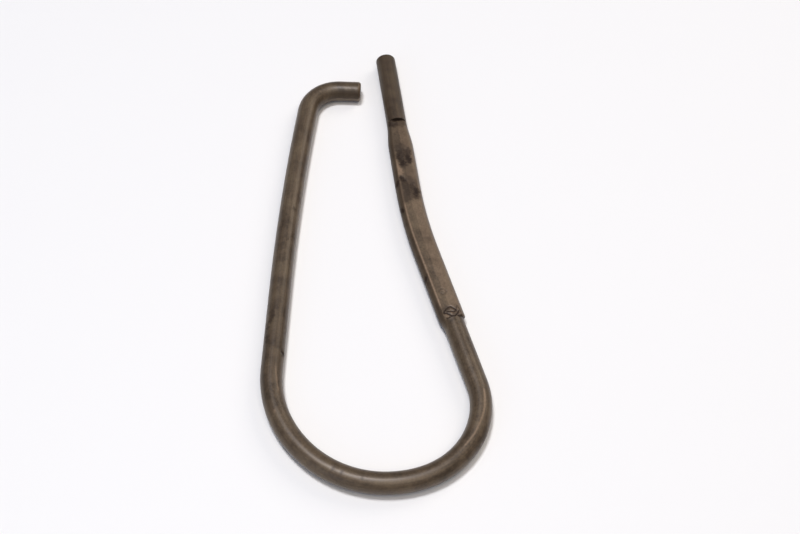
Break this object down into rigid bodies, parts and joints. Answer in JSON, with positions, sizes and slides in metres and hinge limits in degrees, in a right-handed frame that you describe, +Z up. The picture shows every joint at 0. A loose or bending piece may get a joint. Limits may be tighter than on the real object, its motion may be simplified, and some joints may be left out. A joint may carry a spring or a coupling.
{
  "type": "open bar eye",
  "caption": "Open pear-shaped eye bent from round steel bar, with a short turned-in tang, a pressed flat stretch on one leg and a straight shank end.",
  "frame": {"origin": "middle of the footprint of the bar lying flat, on the surface it lies on", "axes": "+Z up out of the bar's plane, +Y from the bow towards the shank's tip and along the left leg, +X from the left leg to the right leg"},
  "size_m": [0.0618, 0.149, 0.006],
  "materials": {
    "bar_steel": "satin brown oxide film on drawn bar, darker in patches, rubbed brighter along the edges"
  },
  "bodies": {
    "root": {"bent_bar": "bar_steel"}
  },
  "joints": []
}
